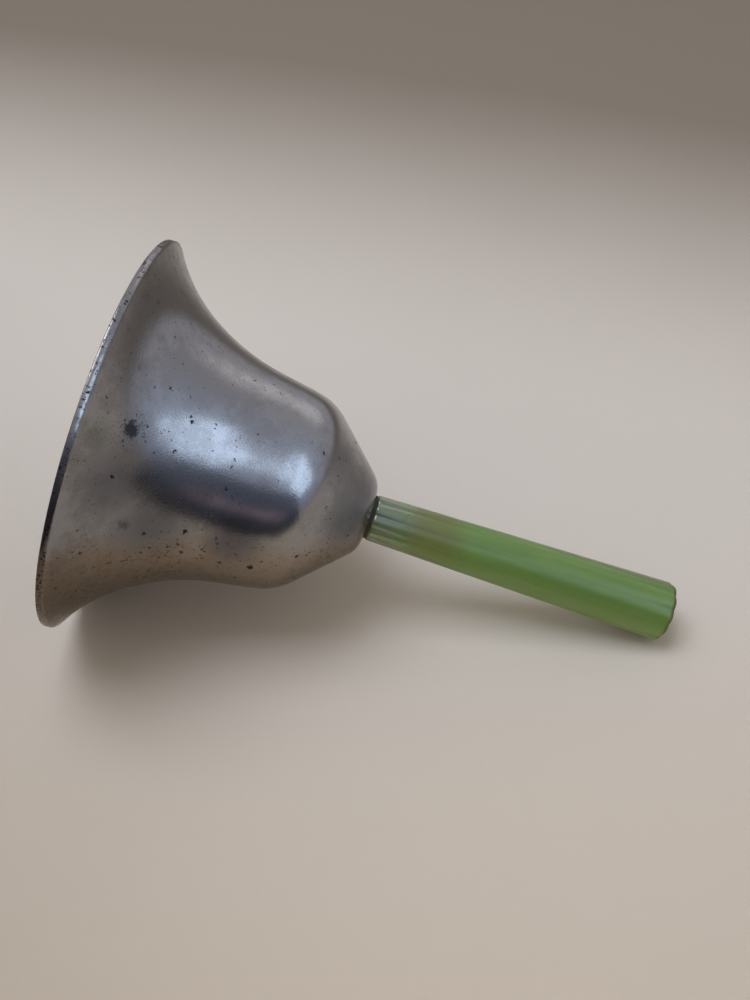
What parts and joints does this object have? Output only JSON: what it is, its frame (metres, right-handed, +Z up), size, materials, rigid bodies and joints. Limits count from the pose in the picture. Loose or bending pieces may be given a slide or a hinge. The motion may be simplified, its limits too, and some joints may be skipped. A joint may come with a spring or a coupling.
{
  "type": "hand bell",
  "caption": "Small flared metal hand bell with a reeded translucent resin handle and a wire clapper that swings inside it, lying on its side.",
  "frame": {"origin": "on the floor, under the middle of the bell as it lies on its lip and its handle's free end", "axes": "+X along the floor from the mouth towards the handle's free end, +Y sideways, +Z up from the floor; the bell's own axis leans down towards +X"},
  "size_m": [0.1265, 0.08, 0.0771],
  "materials": {
    "bell_plate": "worn plate, hazy, with fine dark pits",
    "handle_resin": "translucent apple-green cast resin, polished",
    "fibre": "dark vulcanised fibre",
    "steel": "dull zinc-grey steel",
    "brass": "tarnished brass"
  },
  "bodies": {
    "bell": {"bell_shell": "bell_plate", "handle": "handle_resin", "seat_washer": "fibre", "crown_washer": "steel", "crown_nut": "steel", "eye_bolt": "steel"},
    "clapper": {"clapper_wire": "steel", "clapper_ball": "brass"}
  },
  "joints": [
    {"name": "clapper_swing", "type": "hinge", "parent": "bell", "child": "clapper", "pos_m": [-0.01104, 0, 0.02686], "axis": [0, 1, 0], "range_deg": [0, 68.9]}
  ]
}
